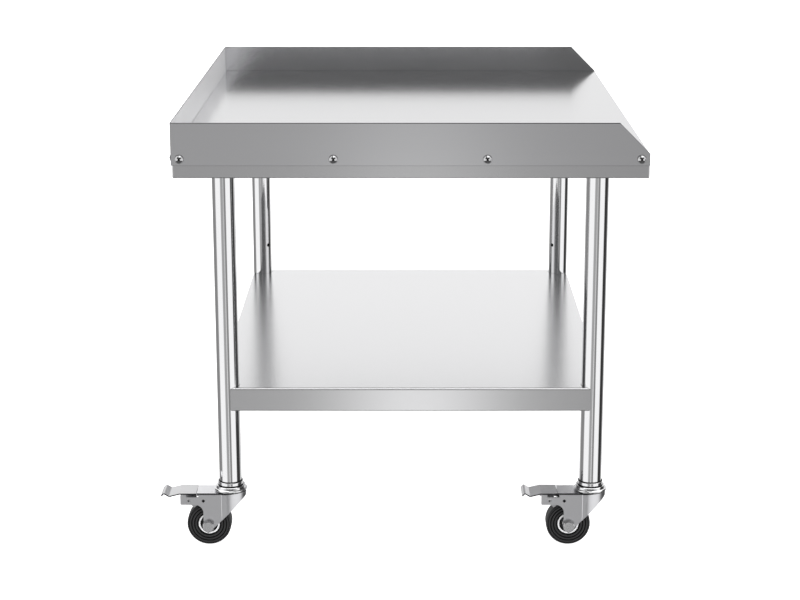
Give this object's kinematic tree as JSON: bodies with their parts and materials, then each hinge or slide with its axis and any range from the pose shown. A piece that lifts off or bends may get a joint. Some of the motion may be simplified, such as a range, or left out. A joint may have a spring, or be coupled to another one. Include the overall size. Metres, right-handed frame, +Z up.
{
  "type": "stainless work table",
  "caption": "Low stainless equipment stand: folded worktop with raised guards at the back and both ends, an undershelf, round legs and swivel casters with foot brakes.",
  "frame": {"origin": "on the floor, under the middle of the table's outer box, whose back edge is the tip of a rear brake pedal", "axes": "+Z up; +X towards the open front, where the operator stands; +Y to the operator's right, along the table's long side"},
  "size_m": [0.8038, 0.9214, 0.7395],
  "materials": {
    "worktop_steel": "brushed stainless, soft mirror-like gloss on the flat top",
    "guard_steel": "brushed stainless, satin",
    "shelf_steel": "brushed stainless, soft gloss",
    "channel_steel": "plain mill finish, duller than the sheets it stiffens",
    "leg_steel": "polished stainless tube",
    "socket_steel": "plain mill finish",
    "screw_steel": "bright stainless fastener",
    "caster_chrome": "bright chrome plate",
    "fork_zinc": "satin zinc plate on pressed steel",
    "pedal_zinc": "bright zinc plate on bent steel strip",
    "tyre_rubber": "solid black rubber, matt, with ribs round its sides",
    "hub_plastic": "pale grey moulded hub",
    "axle_zinc": "bright zinc plate"
  },
  "bodies": {
    "table": {"worktop": "worktop_steel", "back_guard": "guard_steel", "left_guard": "guard_steel", "right_guard": "guard_steel", "undershelf": "shelf_steel", "back_top_channel": "channel_steel", "front_top_channel": "channel_steel", "shelf_channel": "channel_steel", "back_guard_screw_1": "screw_steel", "back_guard_screw_2": "screw_steel", "back_guard_screw_3": "screw_steel", "back_guard_screw_4": "screw_steel", "left_guard_screw_1": "screw_steel", "left_guard_screw_2": "screw_steel", "left_guard_screw_3": "screw_steel", "left_guard_screw_4": "screw_steel", "right_guard_screw_1": "screw_steel", "right_guard_screw_2": "screw_steel", "right_guard_screw_3": "screw_steel", "right_guard_screw_4": "screw_steel", "front_left_leg": "leg_steel", "front_left_leg_socket": "socket_steel", "front_left_caster_stem": "caster_chrome", "front_left_bearing_cup": "caster_chrome", "front_right_leg": "leg_steel", "front_right_leg_socket": "socket_steel", "front_right_caster_stem": "caster_chrome", "front_right_bearing_cup": "caster_chrome", "back_left_leg": "leg_steel", "back_left_leg_socket": "socket_steel", "back_left_caster_stem": "caster_chrome", "back_left_bearing_cup": "caster_chrome", "back_right_leg": "leg_steel", "back_right_leg_socket": "socket_steel", "back_right_caster_stem": "caster_chrome", "back_right_bearing_cup": "caster_chrome"},
    "front_left_swivel_fork": {"front_left_fork": "fork_zinc", "front_left_axle_bolt": "axle_zinc", "front_left_brake_pin": "axle_zinc"},
    "front_left_wheel": {"front_left_tyre": "tyre_rubber", "front_left_hub": "hub_plastic"},
    "front_left_brake": {"front_left_brake_pedal": "pedal_zinc"},
    "front_right_swivel_fork": {"front_right_fork": "fork_zinc", "front_right_axle_bolt": "axle_zinc", "front_right_brake_pin": "axle_zinc"},
    "front_right_wheel": {"front_right_tyre": "tyre_rubber", "front_right_hub": "hub_plastic"},
    "front_right_brake": {"front_right_brake_pedal": "pedal_zinc"},
    "back_left_swivel_fork": {"back_left_fork": "fork_zinc", "back_left_axle_bolt": "axle_zinc", "back_left_brake_pin": "axle_zinc"},
    "back_left_wheel": {"back_left_tyre": "tyre_rubber", "back_left_hub": "hub_plastic"},
    "back_left_brake": {"back_left_brake_pedal": "pedal_zinc"},
    "back_right_swivel_fork": {"back_right_fork": "fork_zinc", "back_right_axle_bolt": "axle_zinc", "back_right_brake_pin": "axle_zinc"},
    "back_right_wheel": {"back_right_tyre": "tyre_rubber", "back_right_hub": "hub_plastic"},
    "back_right_brake": {"back_right_brake_pedal": "pedal_zinc"}
  },
  "joints": [
    {"name": "front_left_swivel", "type": "hinge", "parent": "table", "child": "front_left_swivel_fork", "pos_m": [0.3267, -0.3818, 0.0952], "axis": [0, 0, 1], "continuous": true},
    {"name": "front_left_wheel_spin", "type": "hinge", "parent": "front_left_swivel_fork", "child": "front_left_wheel", "pos_m": [0.2897, -0.3818, 0.0375], "axis": [0, 1, 0], "continuous": true},
    {"name": "front_left_brake_lift", "type": "hinge", "parent": "front_left_swivel_fork", "child": "front_left_brake", "pos_m": [0.2567, -0.3818, 0.0826], "axis": [0, 1, 0], "range_deg": [0, 18]},
    {"name": "front_right_swivel", "type": "hinge", "parent": "table", "child": "front_right_swivel_fork", "pos_m": [0.3267, 0.3818, 0.0952], "axis": [0, 0, 1], "continuous": true},
    {"name": "front_right_wheel_spin", "type": "hinge", "parent": "front_right_swivel_fork", "child": "front_right_wheel", "pos_m": [0.2897, 0.3818, 0.0375], "axis": [0, 1, 0], "continuous": true},
    {"name": "front_right_brake_lift", "type": "hinge", "parent": "front_right_swivel_fork", "child": "front_right_brake", "pos_m": [0.2567, 0.3818, 0.0826], "axis": [0, 1, 0], "range_deg": [0, 18]},
    {"name": "back_left_swivel", "type": "hinge", "parent": "table", "child": "back_left_swivel_fork", "pos_m": [-0.2849, -0.3818, 0.0952], "axis": [0, 0, 1], "continuous": true},
    {"name": "back_left_wheel_spin", "type": "hinge", "parent": "back_left_swivel_fork", "child": "back_left_wheel", "pos_m": [-0.3219, -0.3818, 0.0375], "axis": [0, 1, 0], "continuous": true},
    {"name": "back_left_brake_lift", "type": "hinge", "parent": "back_left_swivel_fork", "child": "back_left_brake", "pos_m": [-0.3549, -0.3818, 0.0826], "axis": [0, 1, 0], "range_deg": [0, 18]},
    {"name": "back_right_swivel", "type": "hinge", "parent": "table", "child": "back_right_swivel_fork", "pos_m": [-0.2849, 0.3818, 0.0952], "axis": [0, 0, 1], "continuous": true},
    {"name": "back_right_wheel_spin", "type": "hinge", "parent": "back_right_swivel_fork", "child": "back_right_wheel", "pos_m": [-0.2479, 0.3818, 0.0375], "axis": [0, 1, 0], "continuous": true},
    {"name": "back_right_brake_lift", "type": "hinge", "parent": "back_right_swivel_fork", "child": "back_right_brake", "pos_m": [-0.2149, 0.3818, 0.0826], "axis": [0, -1, 0], "range_deg": [0, 18]}
  ]
}
